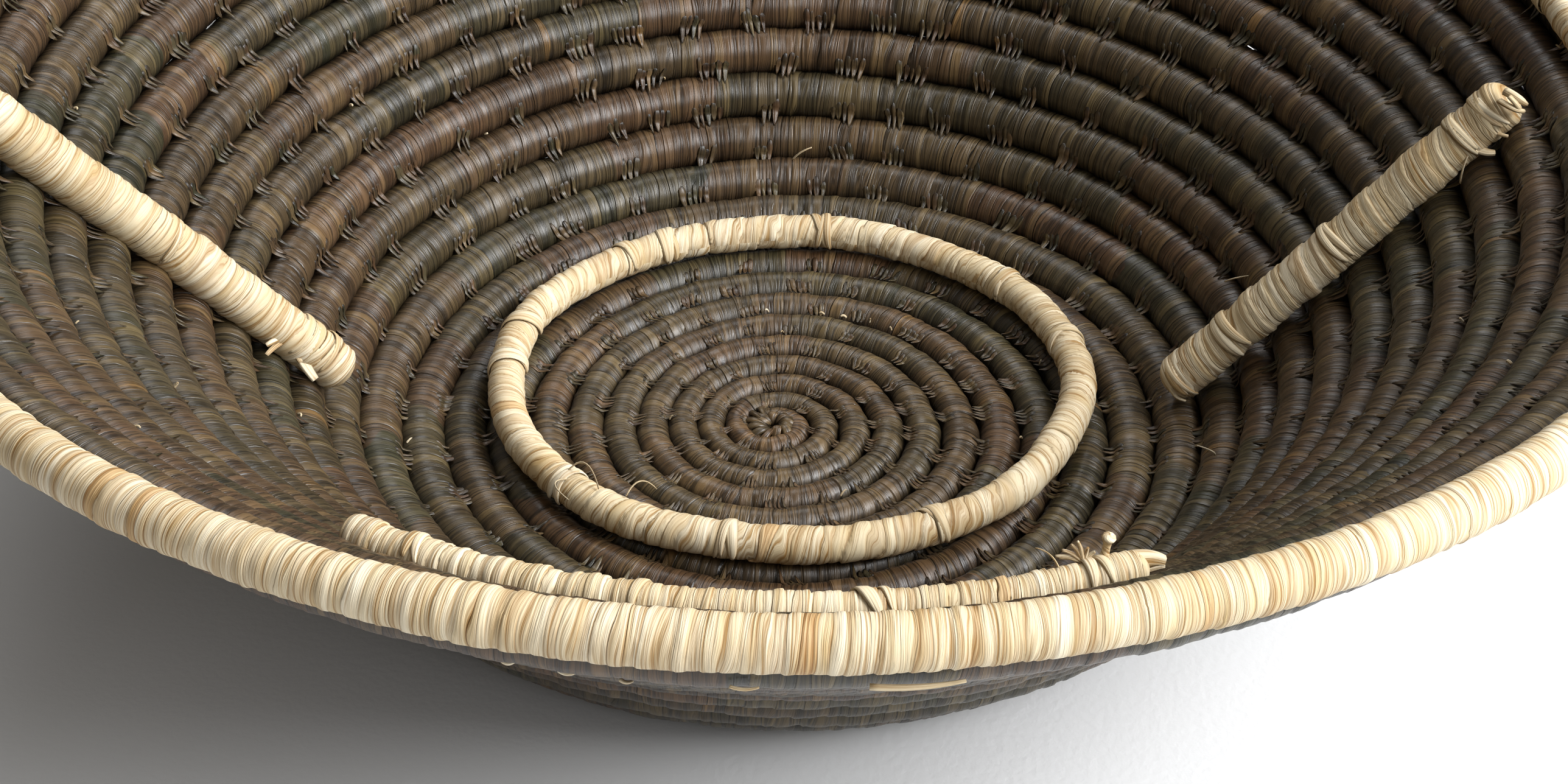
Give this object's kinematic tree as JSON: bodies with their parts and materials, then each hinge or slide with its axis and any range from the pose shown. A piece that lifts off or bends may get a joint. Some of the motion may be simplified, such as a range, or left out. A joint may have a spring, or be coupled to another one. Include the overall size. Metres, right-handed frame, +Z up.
{
  "type": "coiled bowl basket",
  "caption": "Wide shallow bowl basket coiled from a grass bundle wrapped in dark raffia, with a pale rim, a raised floor ring and raised wall bars.",
  "frame": {"origin": "on the table under the middle of the bowl's floor", "axes": "+Z up out of the bowl, +X to the right and -Y towards a person looking into the bowl"},
  "size_m": [0.303, 0.3062, 0.0934],
  "materials": {
    "dark_raffia": "dyed raffia, satin",
    "natural_raffia": "undyed raffia, satin",
    "grass_bundle": "dry grass stems, matte"
  },
  "bodies": {
    "root": {"row_01_wrap": "dark_raffia", "row_02_wrap": "dark_raffia", "row_03_wrap": "dark_raffia", "row_04_wrap": "dark_raffia", "row_05_wrap": "dark_raffia", "row_06_wrap": "dark_raffia", "row_07_wrap": "dark_raffia", "row_08_wrap": "dark_raffia", "row_09_wrap": "dark_raffia", "row_10_wrap": "dark_raffia", "row_11_wrap": "dark_raffia", "row_12_wrap": "dark_raffia", "row_13_wrap": "dark_raffia", "row_14_wrap": "dark_raffia", "row_15_wrap": "dark_raffia", "row_16_wrap": "dark_raffia", "row_17_wrap": "dark_raffia", "row_18_wrap": "dark_raffia", "row_19_wrap": "dark_raffia", "row_20_wrap": "dark_raffia", "row_21_wrap": "dark_raffia", "row_22_wrap": "dark_raffia", "row_23_wrap": "dark_raffia", "start_knot": "dark_raffia", "rim_wrap": "natural_raffia", "ring_wrap": "natural_raffia", "ring_ties": "natural_raffia", "right_bar_wrap": "natural_raffia", "right_bar_ties": "natural_raffia", "left_bar_wrap": "natural_raffia", "left_bar_ties": "natural_raffia", "front_bar_wrap": "natural_raffia", "front_bar_ties": "natural_raffia", "back_bar_wrap": "natural_raffia", "back_bar_ties": "natural_raffia", "coil_bundle": "grass_bundle", "ring_bundle": "grass_bundle", "right_bar_bundle": "grass_bundle", "left_bar_bundle": "grass_bundle", "front_bar_bundle": "grass_bundle", "back_bar_bundle": "grass_bundle"}
  },
  "joints": []
}
